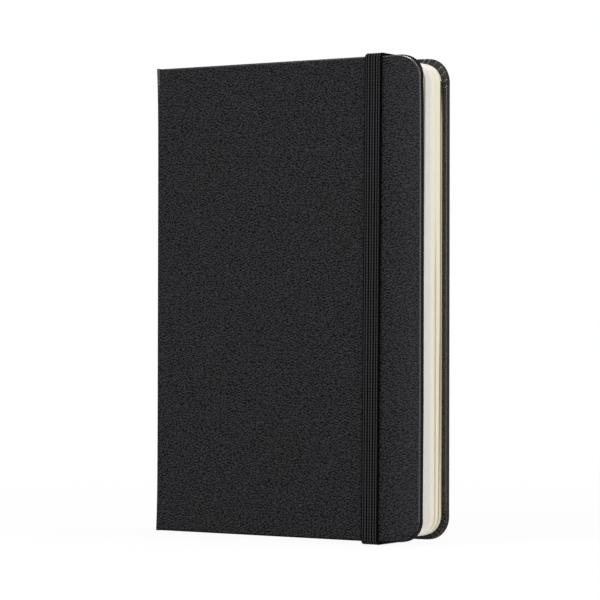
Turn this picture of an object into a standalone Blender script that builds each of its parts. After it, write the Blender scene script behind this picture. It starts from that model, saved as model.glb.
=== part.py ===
"""Hard-cover pocket notebook: case, sewn page block, inner pocket and elastic band.

The notebook stands upright. X runs from the spine to the fore-edge, Y from the front cover to the
back cover and Z from tail to head. The origin lies under the middle of the book, level with the
underside of the elastic. Lengths are in metres.
"""
import math

import bmesh
import bpy

MM = 0.001

# Case
COVER_WIDTH = 92.0 * MM
COVER_HEIGHT = 140.0 * MM
CORNER_RADIUS = 6.5 * MM
EDGE_RADIUS = 0.5 * MM
BOARD_THICKNESS = 1.5 * MM
LEATHERETTE = 0.3 * MM
TURN_IN = 8.0 * MM
TURN_IN_CORNER = 1.5 * MM
PLEATS = 10
PLEAT_DEPTH = 0.12 * MM
PLEAT_START = 1.2 * MM
JOINT_LIP = 1.2 * MM
FACE_PANEL_MARGIN = 14.0 * MM
GLUE = 0.05 * MM
SPINE_STRIP_THICKNESS = 0.8 * MM
SPINE_END_GAP = 0.1 * MM

# Page block
SIGNATURES = 12
SIGNATURE_THICKNESS = 0.8 * MM
ENDPAPER = 0.2 * MM
LEAF_GAP = 0.05 * MM
SQUARE_FORE_EDGE = 1.2 * MM
SQUARE_HEAD = 1.65 * MM
SQUARE_TAIL = 1.35 * MM
PASTEDOWN_MARGIN = 2.2 * MM
LINING_THICKNESS = 0.25 * MM
LINING_END = 12.0 * MM
THREAD_DIAMETER = 0.4 * MM
STITCH_ROWS = 6
STITCH_END = 18.0 * MM

# Pocket inside the back cover
POCKET_CARD = 0.3 * MM
POCKET_MOUTH = 16.0 * MM
POCKET_EDGE_INSET = 0.1 * MM
GUSSET_CLOTH = 0.2 * MM
GUSSET_FOLD = 0.2 * MM
GUSSET_DEPTH = 9.0 * MM
POCKET_FOLD_WIDTH = 6.0 * MM

# Elastic band
BAND_FROM_FORE_EDGE = 16.1 * MM
BAND_LEAN = 0.9 * MM
BAND_WIDTH = 5.4 * MM
BAND_THICKNESS = 0.95 * MM
BAND_CLEARANCE = 0.05 * MM
BAND_RIBS = 6
RIB_GROOVE = 0.2 * MM
PAIR_GROOVE = 0.35 * MM
BAND_SIDE = 0.7 * MM
SLIT_FROM_EDGE = 11.0 * MM
SLIT_CLEARANCE = 0.15 * MM
BAND_TAIL_PAST_SLIT = 2.0 * MM
BAND_END_THICKNESS = 0.8 * MM
BAND_END_LENGTH = 15.0 * MM

# Facets of the round stretches
COVER_CORNER_STEPS = 2 * PLEATS
LEAF_CORNER_STEPS = 10
EDGE_STEPS = 3
FOLD_STEPS = 6
BEND_STEPS = 5

# Layers from the front face inwards, the same for both covers
COVER_DEPTH = 2 * LEATHERETTE + 2 * GLUE + BOARD_THICKNESS
COVER_STACK = COVER_DEPTH + GLUE + ENDPAPER
GUSSET_THICKNESS = 2 * GUSSET_CLOTH + GUSSET_FOLD
POCKET_STACK = 2 * POCKET_CARD + GUSSET_THICKNESS + 3 * GLUE
BLOCK_THICKNESS = SIGNATURES * (SIGNATURE_THICKNESS + LEAF_GAP) + LEAF_GAP
INNER_STACK = BLOCK_THICKNESS + 2 * (ENDPAPER + LEAF_GAP) + POCKET_STACK
BOOK_THICKNESS = 2 * COVER_STACK + INNER_STACK

FRONT_FACE = -BOOK_THICKNESS / 2
BACK_FACE = BOOK_THICKNESS / 2
SPINE_FACE = -COVER_WIDTH / 2
FORE_EDGE = COVER_WIDTH / 2
BAND_CENTRE_X = FORE_EDGE - BAND_FROM_FORE_EDGE
TAIL = BAND_THICKNESS + BAND_CLEARANCE
HEAD = TAIL + COVER_HEIGHT

# Layers from the spine's outer face inwards
STRIP_X = SPINE_FACE + LEATHERETTE + GLUE
SPINE_TURN_IN_X = STRIP_X + SPINE_STRIP_THICKNESS + GLUE
LINING_X = SPINE_TURN_IN_X + LEATHERETTE + GLUE
THREAD_X = LINING_X + LINING_THICKNESS + GLUE + THREAD_DIAMETER / 2
ROOT_X = THREAD_X + THREAD_DIAMETER / 2 + GLUE

LEAF_TAIL = TAIL + SQUARE_TAIL
LEAF_HEAD = HEAD - SQUARE_HEAD
LEAF_EDGE = FORE_EDGE - SQUARE_FORE_EDGE
LEAF_RADIUS = CORNER_RADIUS - SQUARE_FORE_EDGE

# Joint axes, all vertical
FRONT_JOINT = (SPINE_FACE, FRONT_FACE, 0.0)
BACK_JOINT = (SPINE_FACE, BACK_FACE, 0.0)
PAGE_AXIS = (ROOT_X, 0.0, 0.0)


def clear_scene():
    """Remove what the scene holds."""
    for old in list(bpy.data.objects):
        bpy.data.objects.remove(old, do_unlink=True)


def make_collection(name):
    """A new collection in the scene."""
    collection = bpy.data.collections.new(name)
    bpy.context.scene.collection.children.link(collection)
    return collection


def make_material(name, colour, roughness):
    """A Principled material of one colour."""
    material = bpy.data.materials.new(name)
    material.use_nodes = True
    shader = material.node_tree.nodes["Principled BSDF"]
    shader.inputs["Base Color"].default_value = (*colour, 1.0)
    shader.inputs["Roughness"].default_value = roughness
    shader.inputs["Metallic"].default_value = 0.0
    return material


clear_scene()
PARTS = make_collection("pocket_notebook")
CUTTERS = make_collection("cutters")

LEATHERETTE_BLACK = make_material("leatherette_black", (0.022, 0.021, 0.020), 0.45)
GREY_BOARD = make_material("grey_board", (0.33, 0.31, 0.28), 0.9)
IVORY_PAPER = make_material("ivory_paper", (0.80, 0.76, 0.62), 0.85)
POCKET_BOARD = make_material("pocket_card", (0.62, 0.56, 0.42), 0.85)
GUSSET_LINEN = make_material("gusset_cloth", (0.55, 0.47, 0.33), 0.9)
BACK_LINING = make_material("lining_cloth", (0.78, 0.76, 0.70), 0.9)
LINEN_THREAD = make_material("linen_thread", (0.85, 0.83, 0.78), 0.8)
ELASTIC_BLACK = make_material("elastic_black", (0.016, 0.016, 0.017), 0.7)


def make_axis(name, location):
    """An empty on a joint's axis, which carries the pieces that turn about it."""
    axis = bpy.data.objects.new(name, None)
    axis.empty_display_size = 10 * MM
    axis.location = location
    PARTS.objects.link(axis)
    return axis


def add_piece(name, bm, material, axis=None, collection=PARTS):
    """Turn a bmesh in world coordinates into a named object, with its origin on its axis."""
    bmesh.ops.recalc_face_normals(bm, faces=bm.faces)
    if axis is not None:
        bmesh.ops.translate(bm, verts=bm.verts, vec=-axis.location)
    mesh = bpy.data.meshes.new(name)
    bm.to_mesh(mesh)
    bm.free()
    mesh.materials.append(material)
    mesh.shade_smooth()
    mesh.set_sharp_from_angle(angle=math.radians(40))
    piece = bpy.data.objects.new(name, mesh)
    piece.parent = axis
    collection.objects.link(piece)
    return piece


def arc(centre_x, centre_z, radius, start, end, steps):
    """Points of a round corner, angles in degrees."""
    points = []
    for step in range(steps + 1):
        angle = math.radians(start + (end - start) * step / steps)
        points.append((centre_x + radius * math.cos(angle), centre_z + radius * math.sin(angle)))
    return points


def outline(x_spine, x_edge, z_tail, z_head, radius, steps):
    """XZ outline of a cover or leaf: square at the spine, round at the fore-edge."""
    points = [(x_spine, z_head), (x_spine, z_tail)]
    points += arc(x_edge - radius, z_tail + radius, radius, -90, 0, steps)
    points += arc(x_edge - radius, z_head - radius, radius, 0, 90, steps)
    return points


def cover_outline(inset, spine_inset=None):
    """Outline of a cover drawn in by an inset, which may differ at the spine."""
    if spine_inset is None:
        spine_inset = inset
    radius = max(CORNER_RADIUS - inset, TURN_IN_CORNER)
    x_spine = SPINE_FACE + spine_inset
    return outline(x_spine, FORE_EDGE - inset, TAIL + inset, HEAD - inset, radius, COVER_CORNER_STEPS)


def leaf_outline(spine_inset=0.0):
    """Outline of a leaf of the page block."""
    x_spine = ROOT_X + spine_inset
    return outline(x_spine, LEAF_EDGE, LEAF_TAIL, LEAF_HEAD, LEAF_RADIUS, LEAF_CORNER_STEPS)


def level(points, y):
    """A flat section: an outline at one Y."""
    return [(x, y, z) for x, z in points]


def pleated(points, y, sink):
    """A section of a turn-in: every other point round the two corners lies deeper by sink."""
    section = level(points, y)
    first = len(points) - 2 * (COVER_CORNER_STEPS + 1)
    for corner in range(2):
        start = first + corner * (COVER_CORNER_STEPS + 1)
        for step in range(1, COVER_CORNER_STEPS, 2):
            x, _, z = section[start + step]
            section[start + step] = (x, y + sink, z)
    return section


def loft(sections):
    """A closed solid through sections with equal numbers of points."""
    bm = bmesh.new()
    loops = [[bm.verts.new(point) for point in section] for section in sections]
    for near, far in zip(loops, loops[1:]):
        count = len(near)
        for i in range(count):
            j = (i + 1) % count
            bm.faces.new((near[i], near[j], far[j], far[i]))
    bm.faces.new(loops[0])
    bm.faces.new(loops[-1])
    return bm


def prism(points, low, high, place):
    """A solid of one outline, extruded from low to high; place turns (u, v, w) into world axes."""
    bm = bmesh.new()
    face = bm.faces.new([bm.verts.new(place(u, v, low)) for u, v in points])
    top = bmesh.ops.extrude_face_region(bm, geom=[face])["geom"]
    moved = [item for item in top if isinstance(item, bmesh.types.BMVert)]
    bmesh.ops.translate(bm, verts=moved, vec=place(0.0, 0.0, high - low))
    return bm


def along_x(u, v, w):
    """Outline in YZ, extruded along X."""
    return (w, u, v)


def along_y(u, v, w):
    """Outline in XZ, extruded along Y."""
    return (u, w, v)


def along_z(u, v, w):
    """Outline in XY, extruded along Z."""
    return (u, v, w)


def box(low, high):
    """A box between two corners."""
    bm = bmesh.new()
    bmesh.ops.create_cube(bm, size=1.0)
    size = [h - l for l, h in zip(low, high)]
    centre = [(h + l) / 2 for l, h in zip(low, high)]
    bmesh.ops.scale(bm, verts=bm.verts, vec=size)
    bmesh.ops.translate(bm, verts=bm.verts, vec=centre)
    return bm


def round_edge(radius):
    """Steps of a rounded edge as (inset, depth), from the face to the side."""
    steps = []
    for step in range(EDGE_STEPS + 1):
        angle = math.radians(90) * step / EDGE_STEPS
        steps.append((radius * (1 - math.sin(angle)), radius * (1 - math.cos(angle))))
    return steps


def cover_wrap(face, inward):
    """Leatherette over one board: face, edges and the turn-in that shows inside, pleated at its corners."""
    inner_radius = EDGE_RADIUS - LEATHERETTE
    outside = round_edge(EDGE_RADIUS)
    inside = [(LEATHERETTE + i, LEATHERETTE + d) for i, d in round_edge(inner_radius)]
    outer_steps = [(FACE_PANEL_MARGIN, 0.0)] + outside
    outer_steps += [(i, COVER_DEPTH - d) for i, d in reversed(outside)]
    sections = [level(cover_outline(i), face + inward * d) for i, d in outer_steps]
    lip_top = face + inward * COVER_DEPTH
    lip_under = face + inward * (COVER_DEPTH - LEATHERETTE)
    lip_end = cover_outline(TURN_IN, JOINT_LIP)
    pleat_outline = cover_outline(PLEAT_START, (EDGE_RADIUS + JOINT_LIP) / 2)
    sections.append(pleated(pleat_outline, lip_top, -inward * PLEAT_DEPTH))
    sections.append(pleated(lip_end, lip_top, -inward * PLEAT_DEPTH))
    sections.append(level(lip_end, lip_under))
    inner_steps = [(i, COVER_DEPTH - d) for i, d in inside]
    inner_steps += reversed(inside)
    sections += [level(cover_outline(i), face + inward * d) for i, d in inner_steps]
    bm = loft(sections)
    # The pleats twist the lip's faces, and the slits need flat ones
    bmesh.ops.triangulate(bm, faces=bm.faces)
    return bm


def cover_board(face, inward):
    """Board under the leatherette, with its edges eased to suit."""
    shell = LEATHERETTE + GLUE
    eased = [(shell + i, shell + d) for i, d in round_edge(EDGE_RADIUS - shell)]
    steps = eased + [(i, COVER_DEPTH - d) for i, d in reversed(eased)]
    return loft([level(cover_outline(i), face + inward * d) for i, d in steps])


def pastedown(face, inward):
    """Endpaper half that is glued inside a cover, over the turn-ins."""
    points = cover_outline(PASTEDOWN_MARGIN)
    near = face + inward * (COVER_DEPTH + GLUE)
    return loft([level(points, near), level(points, near + inward * ENDPAPER)])


def sheet(y_front, thickness):
    """A single flat leaf."""
    return loft([level(leaf_outline(), y_front), level(leaf_outline(), y_front + thickness)])


def signature(y_front):
    """A folded section of leaves, with a round fold at the spine."""
    half = SIGNATURE_THICKNESS / 2
    sections = []
    for step in range(FOLD_STEPS + 1):
        angle = math.pi * step / FOLD_STEPS
        depth = half * (1 - math.cos(angle))
        sections.append(level(leaf_outline(half * (1 - math.sin(angle))), y_front + depth))
    return loft(sections)


def spine_wrap():
    """Leatherette over the spine strip, turned in at head and tail."""
    inner_radius = EDGE_RADIUS - LEATHERETTE
    outer_x = SPINE_FACE
    inner_x = SPINE_TURN_IN_X + LEATHERETTE
    lower = [(outer_x + d, TAIL + i) for i, d in round_edge(EDGE_RADIUS)]
    lower += [(inner_x - d, TAIL + i) for i, d in reversed(round_edge(EDGE_RADIUS))]
    lower += [(inner_x, TAIL + TURN_IN), (SPINE_TURN_IN_X, TAIL + TURN_IN)]
    under = TAIL + LEATHERETTE
    lower += [(SPINE_TURN_IN_X - d, under + i) for i, d in round_edge(inner_radius)]
    lower += [(outer_x + LEATHERETTE + d, under + i) for i, d in reversed(round_edge(inner_radius))]
    middle = (HEAD + TAIL) / 2
    upper = [(x, 2 * middle - z) for x, z in reversed(lower)]
    inset_y = COVER_STACK + SPINE_END_GAP
    return prism(lower + upper, FRONT_FACE + inset_y, BACK_FACE - inset_y, along_y)


def spine_strip():
    """Stiff card inside the spine."""
    inset_y = COVER_STACK + SPINE_END_GAP
    inset_z = LEATHERETTE + GLUE
    low = (STRIP_X, FRONT_FACE + inset_y, TAIL + inset_z)
    high = (STRIP_X + SPINE_STRIP_THICKNESS, BACK_FACE - inset_y, HEAD - inset_z)
    eased = EDGE_RADIUS - inset_z
    bm = box(low, high)
    long_edges = [e for e in bm.edges if abs(e.verts[0].co.y - e.verts[1].co.y) > eased]
    bmesh.ops.bevel(bm, geom=long_edges, offset=eased, segments=EDGE_STEPS, profile=0.5, affect="EDGES")
    return bm


def sewing_thread(y_front, y_back):
    """One thread that crosses the folds in rows and runs along the block between them."""
    curve = bpy.data.curves.new("sewing_thread", "CURVE")
    curve.dimensions = "3D"
    curve.bevel_depth = THREAD_DIAMETER / 2
    curve.bevel_resolution = 1
    curve.use_fill_caps = True
    first = LEAF_TAIL + STITCH_END
    pitch = (LEAF_HEAD - STITCH_END - first) / (STITCH_ROWS - 1)
    points = []
    for row in range(STITCH_ROWS):
        ends = (y_front, y_back) if row % 2 == 0 else (y_back, y_front)
        points += [(THREAD_X, y, first + pitch * row) for y in ends]
    spline = curve.splines.new("POLY")
    spline.points.add(len(points) - 1)
    for point, place in zip(spline.points, points):
        origin = [a - b for a, b in zip(place, BACK_JOINT)]
        point.co = (*origin, 1.0)
    curve.materials.append(LINEN_THREAD)
    return curve


def band_x(z):
    """Middle of the elastic at a height: it leans a little."""
    return BAND_CENTRE_X + BAND_LEAN * ((z - TAIL) / COVER_HEIGHT - 0.5)


def band_section():
    """Section of the ribbed elastic as (across, height), flat side down."""
    pitch = BAND_WIDTH / BAND_RIBS
    points = [(-BAND_WIDTH / 2, 0.0), (-BAND_WIDTH / 2, BAND_SIDE)]
    for rib in range(BAND_RIBS):
        left = -BAND_WIDTH / 2 + pitch * rib
        points += [(left + pitch * 0.3, BAND_THICKNESS), (left + pitch * 0.7, BAND_THICKNESS)]
        if rib < BAND_RIBS - 1:
            groove = RIB_GROOVE if rib % 2 == 0 else PAIR_GROOVE
            points.append((left + pitch, BAND_THICKNESS - groove))
    points += [(BAND_WIDTH / 2, BAND_SIDE), (BAND_WIDTH / 2, 0.0)]
    return points


def band_path():
    """Inner line of the elastic as (y, z, outward y, outward z), from one slit round to the other."""
    front = FRONT_FACE - BAND_CLEARANCE
    back = BACK_FACE + BAND_CLEARANCE
    top = HEAD + BAND_CLEARANCE
    bottom = TAIL - BAND_CLEARANCE
    bend = EDGE_RADIUS
    tail_end = SLIT_FROM_EDGE + BAND_TAIL_PAST_SLIT
    path = [(back, HEAD - tail_end, 1.0, 0.0)]
    corners = ((back, top, 0), (front, top, 90), (front, bottom, 180), (back, bottom, 270))
    for corner_y, corner_z, start in corners:
        centre_y = corner_y - math.copysign(bend, corner_y)
        centre_z = corner_z - (bend if corner_z == top else -bend)
        for step in range(BEND_STEPS + 1):
            angle = math.radians(start + 90 * step / BEND_STEPS)
            out_y = math.cos(angle)
            out_z = math.sin(angle)
            path.append((centre_y + bend * out_y, centre_z + bend * out_z, out_y, out_z))
    path.append((back, TAIL + tail_end, 1.0, 0.0))
    return path


def elastic_band():
    """The elastic from its slit at the head, over the front, to its slit at the tail."""
    bm = bmesh.new()
    section = band_section()
    rings = []
    for y, z, out_y, out_z in band_path():
        ring = []
        for across, height in section:
            ring_z = z + out_z * height
            ring.append(bm.verts.new((band_x(ring_z) + across, y + out_y * height, ring_z)))
        rings.append(ring)
    for near, far in zip(rings, rings[1:]):
        count = len(near)
        for i in range(count):
            j = (i + 1) % count
            bm.faces.new((near[i], near[j], far[j], far[i]))
    bm.faces.new(rings[0])
    bm.faces.new(rings[-1])
    return bm


def elastic_end(slit_z, towards):
    """End of the elastic: through its slit, then pressed flat under the pastedown."""
    half = BAND_END_THICKNESS / 2
    outer = BACK_FACE
    flat_outer = BACK_FACE - (COVER_DEPTH - LEATHERETTE)
    flat_inner = BACK_FACE - COVER_DEPTH
    far = slit_z + towards * BAND_END_LENGTH
    near = slit_z - towards * half
    inside = slit_z + towards * half
    points = [(outer, near), (outer, inside), (flat_outer, inside), (flat_outer, far)]
    points += [(flat_inner, far), (flat_inner, near)]
    x = band_x(slit_z)
    return prism(points, x - BAND_WIDTH / 2, x + BAND_WIDTH / 2, along_x)


def slit_cutter(name, slit_z):
    """Cutter for the slot that an end of the elastic goes through."""
    half_width = BAND_WIDTH / 2 + SLIT_CLEARANCE
    half_height = BAND_END_THICKNESS / 2 + SLIT_CLEARANCE
    x = band_x(slit_z)
    low = (x - half_width, BACK_FACE - COVER_STACK, slit_z - half_height)
    high = (x + half_width, BACK_FACE + EDGE_RADIUS, slit_z + half_height)
    cutter = add_piece(name, box(low, high), LEATHERETTE_BLACK, collection=CUTTERS)
    cutter.hide_render = True
    cutter.display_type = "WIRE"
    return cutter


def cut(piece, cutters):
    """Take each cutter away from a piece."""
    for cutter in cutters:
        difference = piece.modifiers.new("slit", "BOOLEAN")
        difference.operation = "DIFFERENCE"
        difference.object = cutter


# Pocket outline: rounded at the fore-edge like the leaves, open towards the spine
POCKET_LEFT = SPINE_FACE + POCKET_MOUTH
POCKET_RIGHT = LEAF_EDGE - POCKET_EDGE_INSET
POCKET_TAIL = LEAF_TAIL + POCKET_EDGE_INSET
POCKET_HEAD = LEAF_HEAD - POCKET_EDGE_INSET
POCKET_RADIUS = LEAF_RADIUS - POCKET_EDGE_INSET


def pocket_panel(y_front):
    """One card panel of the pocket."""
    corners = (POCKET_LEFT, POCKET_RIGHT, POCKET_TAIL, POCKET_HEAD)
    points = outline(*corners, POCKET_RADIUS, LEAF_CORNER_STEPS)
    return loft([level(points, y_front), level(points, y_front + POCKET_CARD)])


def gusset_section(y_front, edge, inward):
    """Folded cloth as a U in (depth, along): open at the edge, folded at its inner end."""
    front_in = y_front + GUSSET_CLOTH
    back_in = front_in + GUSSET_FOLD
    back = y_front + GUSSET_THICKNESS
    end = edge + inward * GUSSET_DEPTH
    bend = end - inward * GUSSET_CLOTH
    return [(y_front, edge), (y_front, end), (back, end), (back, edge),
            (back_in, edge), (back_in, bend), (front_in, bend), (front_in, edge)]


def pocket_gusset(y_front, edge, inward):
    """Bellows fold at the head or tail of the pocket."""
    right = POCKET_RIGHT - max(POCKET_FOLD_WIDTH, POCKET_RADIUS) - GLUE
    return prism(gusset_section(y_front, edge, inward), POCKET_LEFT, right, along_x)


def pocket_fold(y_front):
    """Cloth fold that joins the two panels along the fore-edge."""
    bend = POCKET_RIGHT - GUSSET_CLOTH
    left = POCKET_RIGHT - POCKET_FOLD_WIDTH
    front_in = y_front + GUSSET_CLOTH
    back_in = front_in + GUSSET_FOLD
    back = y_front + GUSSET_THICKNESS
    points = [(left, y_front), (POCKET_RIGHT, y_front), (POCKET_RIGHT, back), (left, back),
              (left, back_in), (bend, back_in), (bend, front_in), (left, front_in)]
    return prism(points, POCKET_TAIL + POCKET_RADIUS, POCKET_HEAD - POCKET_RADIUS, along_z)


# Depths of the loose layers, from the front cover to the back
front_inside = FRONT_FACE + COVER_STACK
front_flyleaf_y = front_inside + LEAF_GAP
first_signature_y = front_flyleaf_y + ENDPAPER + LEAF_GAP
signature_pitch = SIGNATURE_THICKNESS + LEAF_GAP
back_flyleaf_y = first_signature_y + SIGNATURES * signature_pitch
pocket_front_y = back_flyleaf_y + ENDPAPER + LEAF_GAP
gusset_y = pocket_front_y + POCKET_CARD + GLUE
pocket_back_y = gusset_y + GUSSET_THICKNESS + GLUE

POCKET_AXIS = (POCKET_RIGHT, pocket_front_y + POCKET_CARD, 0.0)
BAND_AXIS = (BAND_CENTRE_X, BACK_FACE + BAND_CLEARANCE, 0.0)

back_joint = make_axis("back_joint_axis", BACK_JOINT)
front_joint = make_axis("front_joint_axis", FRONT_JOINT)
page_axis = make_axis("page_axis", PAGE_AXIS)
pocket_axis = make_axis("pocket_axis", POCKET_AXIS)
band_axis = make_axis("band_axis", BAND_AXIS)

# Back cover, which carries the rest
slit_heights = (HEAD - SLIT_FROM_EDGE, TAIL + SLIT_FROM_EDGE)
slits = [slit_cutter("slit_head", slit_heights[0]), slit_cutter("slit_tail", slit_heights[1])]
back_wrap = add_piece("back_cover_wrap", cover_wrap(BACK_FACE, -1), LEATHERETTE_BLACK)
back_board = add_piece("back_board", cover_board(BACK_FACE, -1), GREY_BOARD)
cut(back_wrap, slits)
cut(back_board, slits)
add_piece("back_pastedown", pastedown(BACK_FACE, -1), IVORY_PAPER)
add_piece("elastic_end_head", elastic_end(slit_heights[0], -1), ELASTIC_BLACK)
add_piece("elastic_end_tail", elastic_end(slit_heights[1], 1), ELASTIC_BLACK)

# Spine
add_piece("spine_wrap", spine_wrap(), LEATHERETTE_BLACK, back_joint)
add_piece("spine_strip", spine_strip(), GREY_BOARD, back_joint)
lining_low = (LINING_X, first_signature_y, LEAF_TAIL + LINING_END)
lining_high = (LINING_X + LINING_THICKNESS, back_flyleaf_y - LEAF_GAP, LEAF_HEAD - LINING_END)
add_piece("spine_lining", box(lining_low, lining_high), BACK_LINING, back_joint)
stitch_front = first_signature_y + SIGNATURE_THICKNESS / 2
stitch_back = stitch_front + (SIGNATURES - 1) * signature_pitch
thread = bpy.data.objects.new("sewing_thread", sewing_thread(stitch_front, stitch_back))
thread.parent = back_joint
PARTS.objects.link(thread)

# Front cover
add_piece("front_cover_wrap", cover_wrap(FRONT_FACE, 1), LEATHERETTE_BLACK, front_joint)
add_piece("front_board", cover_board(FRONT_FACE, 1), GREY_BOARD, front_joint)
add_piece("front_pastedown", pastedown(FRONT_FACE, 1), IVORY_PAPER, front_joint)

# Page block
add_piece("front_flyleaf", sheet(front_flyleaf_y, ENDPAPER), IVORY_PAPER, page_axis)
for number in range(SIGNATURES):
    section_y = first_signature_y + number * signature_pitch
    add_piece(f"signature_{number + 1:02d}", signature(section_y), IVORY_PAPER, page_axis)
add_piece("back_flyleaf", sheet(back_flyleaf_y, ENDPAPER), IVORY_PAPER, page_axis)

# Pocket
add_piece("pocket_back_panel", pocket_panel(pocket_back_y), POCKET_BOARD)
add_piece("pocket_gusset_head", pocket_gusset(gusset_y, POCKET_HEAD, -1), GUSSET_LINEN)
add_piece("pocket_gusset_tail", pocket_gusset(gusset_y, POCKET_TAIL, 1), GUSSET_LINEN)
add_piece("pocket_fold", pocket_fold(gusset_y), GUSSET_LINEN)
add_piece("pocket_front_panel", pocket_panel(pocket_front_y), POCKET_BOARD, pocket_axis)

# Elastic
add_piece("elastic_band", elastic_band(), ELASTIC_BLACK, band_axis)
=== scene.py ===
"""Looks of the pocket notebook: leatherette case, leaves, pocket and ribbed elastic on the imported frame."""

import math
import random

import bmesh
import bpy
from mathutils import Matrix, Vector


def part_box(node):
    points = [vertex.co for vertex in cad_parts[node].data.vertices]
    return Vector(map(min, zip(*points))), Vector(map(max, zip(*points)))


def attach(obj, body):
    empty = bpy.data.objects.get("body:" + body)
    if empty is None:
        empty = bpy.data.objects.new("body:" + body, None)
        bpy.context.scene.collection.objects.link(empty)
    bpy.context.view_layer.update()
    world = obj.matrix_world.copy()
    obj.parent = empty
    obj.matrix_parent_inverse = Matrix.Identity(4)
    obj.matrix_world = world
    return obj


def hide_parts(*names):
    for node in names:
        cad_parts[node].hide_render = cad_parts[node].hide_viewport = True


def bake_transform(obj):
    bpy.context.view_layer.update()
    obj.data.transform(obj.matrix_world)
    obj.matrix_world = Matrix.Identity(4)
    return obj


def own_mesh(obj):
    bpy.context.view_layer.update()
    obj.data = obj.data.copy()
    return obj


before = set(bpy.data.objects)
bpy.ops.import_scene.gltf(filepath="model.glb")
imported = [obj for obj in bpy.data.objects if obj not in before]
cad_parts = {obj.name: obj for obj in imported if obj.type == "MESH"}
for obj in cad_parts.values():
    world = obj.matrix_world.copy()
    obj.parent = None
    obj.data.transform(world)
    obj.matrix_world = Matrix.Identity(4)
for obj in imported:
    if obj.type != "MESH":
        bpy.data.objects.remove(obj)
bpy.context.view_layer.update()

MM = 0.001
X_AXIS = Vector((1.0, 0.0, 0.0))
Z_AXIS = Vector((0.0, 0.0, 1.0))

# Places read from the frame
front_low, front_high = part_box("front_cover_wrap")
_, back_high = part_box("back_cover_wrap")
spine_low, spine_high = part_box("spine_wrap")
band_low, band_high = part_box("elastic_band")
slit_head_low, slit_head_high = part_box("elastic_end_head")
slit_tail_low, slit_tail_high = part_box("elastic_end_tail")
SPINE_FACE = front_low.x
FORE_EDGE = front_high.x
TAIL = front_low.z
HEAD = front_high.z
MID_HEIGHT = (HEAD + TAIL) / 2
FRONT_FACE = front_low.y
BACK_FACE = back_high.y
COVER_DEPTH = front_high.y - front_low.y
COVER_HEIGHT = HEAD - TAIL

# Leatherette
CORNER_RADIUS = 6.8 * MM
EDGE_RADIUS = 0.42 * MM
EDGE_WALL = 0.75 * MM
LEATHERETTE = 0.3 * MM
JOINT_RADIUS = 0.4 * MM
JOINT_ARC = JOINT_RADIUS * math.pi / 2
JOINT_STEPS = 10
JOINT_LIP = 0.15 * MM
SEAM_SETBACK = 0.02 * MM
CORNER_STEPS = 24
EDGE_STEPS = 5
FLAT_LEAN = 0.99
WALL_LEAN = 0.1

# Sheet that stands off the spine and past its ends
SPINE_CROWN = 0.49 * MM
HEAD_FLARE = 0.6 * MM
TAIL_FLARE = 0.5 * MM
FLARE_REACH = 8.0 * MM
FLARE_FADE = 3.0 * MM
HEAD_CAP = 0.3 * MM
TAIL_CAP = 0.15 * MM
CAP_REACH = 2.5 * MM
CAP_FADE = 1.0 * MM
FADE_CUTS = [FLARE_FADE * share for share in (0.4, 0.7, 1.0)]
FLARE_CUTS = [distance * MM for distance in (1.5, 3.0, 5.0, 8.0, 12.0, 18.0, 27.0, 40.0)]

# Front cover drawn in by its two round corners
HEAD_DRAW = 0.62 * MM
HEAD_DRAW_REACH = 9.0 * MM
TAIL_DRAW = 0.28 * MM
TAIL_DRAW_REACH = 45.0 * MM
TAIL_RISE = 0.25 * MM
DRAW_FROM = 3.0 * MM
DRAW_FULL = 7.0 * MM
DRAW_SPREAD = 14.0 * MM
RISE_FULL = 6.0 * MM
DRAW_CUTS = [distance * MM for distance in (10.0, 12.0, 14.0)]

# Turn-in inside the covers, measured from the covers' inner faces
TURN_IN = 6.0 * MM
WALL_END = EDGE_WALL - COVER_DEPTH
TURN_STEPS = 108
TURN_RINGS = [ring * MM for ring in (0.35, 0.35, 0.35, 0.35, 0.35, 0.55, 0.8, 1.2, 1.7)]
RING_FIT = 0.95
RUN_CUTS = 16
RUN_STEP = 0.12 * MM

# Pleats at the round corners
PLEATS = 13
PLEAT_CENTRE = 12.0 * MM
PLEAT_FROM = math.radians(28)
PLEAT_TO = math.radians(60)
PLEAT_FADE = 0.06
PLEAT_DEPTH = 0.26 * MM
PLEAT_RISE = 1.0 * MM
PLEAT_DRIFT = 0.25
PLEAT_WIDTHS = (0.7, 1.3)
PLEAT_DEPTHS = (0.7, 1.0)
PALE_EVERY = 2
HEAD_CREST = 0.17
TAIL_CREST = 0.3
CREST_SHARE = 0.5
CREST_END = WALL_END + PLEAT_RISE * 0.8
FRONT_PLEAT_SEED = 3
BACK_PLEAT_SEED = 5

# Finishes of the leatherette: rubbed edges, soft corners with a painted glint and painted shade, a tone
# painted lighter towards the fore-edge, and a worn joint partly painted as a sheen
# Below this height the edge takes the wall finish, which on the front cover is painted shade
DULL_BELOW = TAIL + 2.5 * MM
RUBBED_ABOVE = TAIL + 6.0 * MM
OUTER_RUB = (0.8, 0.4)
INNER_RUB = (1.0, 0.0)
CORNER_LIGHT_FROM = math.radians(30)
GLINT_FROM = math.radians(46)
GLINT_TO = math.radians(78)
GLINT_LEAN = (0.8, 0.95)
CORNER_SOFTNESS = 1.75
CORNER_GAIN = 1.5
EDGE_SLACK = 1.01
# Zone towards the fore-edge where the grain is painted lighter, as light falls there
LIGHTER_FROM = FORE_EDGE - 14.0 * MM
LIGHTER_TO = FORE_EDGE - 3.0 * MM
WORN_SHEEN_JOINT = 0.75 * MM
WORN_SHEEN_REACH = 5.0 * MM
WORN_SHEEN_FADE = 9.0 * MM

# Leaves
SIGNATURES = 12
LEAVES = 8
LEAF_SHARE = 0.88
LEAF_STEPS = 12
LEAF_RADIUS = 6.0 * MM
LEAF_UNEVEN = 0.05 * MM
TRIM_SEED = 11
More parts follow.
